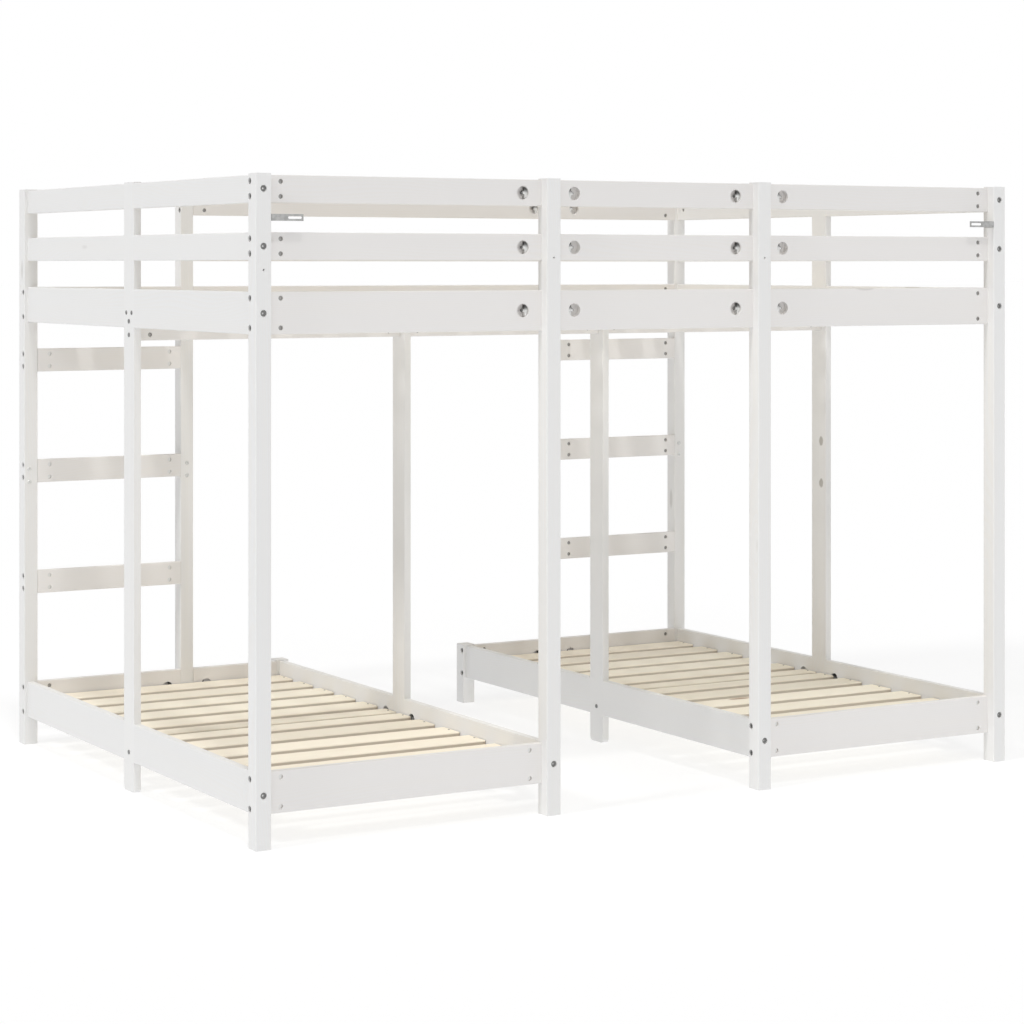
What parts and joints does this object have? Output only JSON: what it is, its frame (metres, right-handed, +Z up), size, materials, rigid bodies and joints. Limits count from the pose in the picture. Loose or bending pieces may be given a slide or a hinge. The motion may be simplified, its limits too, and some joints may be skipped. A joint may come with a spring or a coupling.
{
  "type": "triple bunk bed",
  "caption": "Whitewashed wooden bunk frame: two low single beds side by side under one wide railed sleeping deck, with a ladder at each end of the open side.",
  "frame": {"origin": "on the floor, under the centre of the frame's outline", "axes": "+X along the wall side from the open-exit ladder's end to the closed one, +Y from the wall side to the ladder side, +Z up"},
  "size_m": [2.813, 2.03, 1.97],
  "materials": {
    "white_wood": "whitewashed pine, satin",
    "bare_wood": "planed natural pine",
    "steel": "zinc plated"
  },
  "bodies": {
    "root": {"post_front_left": "white_wood", "post_front_inner_left": "white_wood", "post_front_inner_right": "white_wood", "post_front_right": "white_wood", "post_back_left": "white_wood", "post_back_right": "white_wood", "ladder_post_left": "white_wood", "ladder_post_right": "white_wood", "post_mid_left": "white_wood", "post_mid_inner_left": "white_wood", "post_mid_inner_right": "white_wood", "post_mid_right": "white_wood", "leg_back_inner_left": "white_wood", "leg_back_inner_right": "white_wood", "guard_rails_front_left": "white_wood", "guard_rails_front_middle": "white_wood", "guard_rails_front_right": "white_wood", "guard_rails_left": "white_wood", "guard_rails_right": "white_wood", "guard_rails_back_middle": "white_wood", "guard_rails_back_right": "white_wood", "deck_rail_front_left": "white_wood", "deck_rail_front_middle": "white_wood", "deck_rail_front_right": "white_wood", "deck_rail_back_left": "white_wood", "deck_rail_back_middle": "white_wood", "deck_rail_back_right": "white_wood", "deck_rails_left": "white_wood", "deck_rails_right": "white_wood", "deck_beams": "white_wood", "deck_beam_caps": "white_wood", "deck_cleats": "white_wood", "deck_slats_front": "bare_wood", "deck_slats_back": "bare_wood", "left_bed_front_rail": "white_wood", "left_bed_back_rails": "white_wood", "left_bed_outer_rails": "white_wood", "left_bed_inner_rails": "white_wood", "left_bed_cross_rail": "white_wood", "left_bed_cleats": "white_wood", "left_bed_slats": "bare_wood", "right_bed_front_rail": "white_wood", "right_bed_back_rails": "white_wood", "right_bed_inner_rails": "white_wood", "right_bed_outer_rails": "white_wood", "right_bed_cross_rail": "white_wood", "right_bed_cleats": "white_wood", "right_bed_slats": "bare_wood", "ladder_rungs_left": "white_wood", "ladder_rungs_right": "white_wood", "rail_bolts": "steel", "barrel_nuts": "steel", "joint_rods": "steel", "half_moon_nuts": "steel", "beam_studs": "steel", "wooden_dowels": "bare_wood", "wall_bracket_left": "steel", "wall_bracket_right": "steel", "bracket_screws": "steel"}
  },
  "joints": []
}
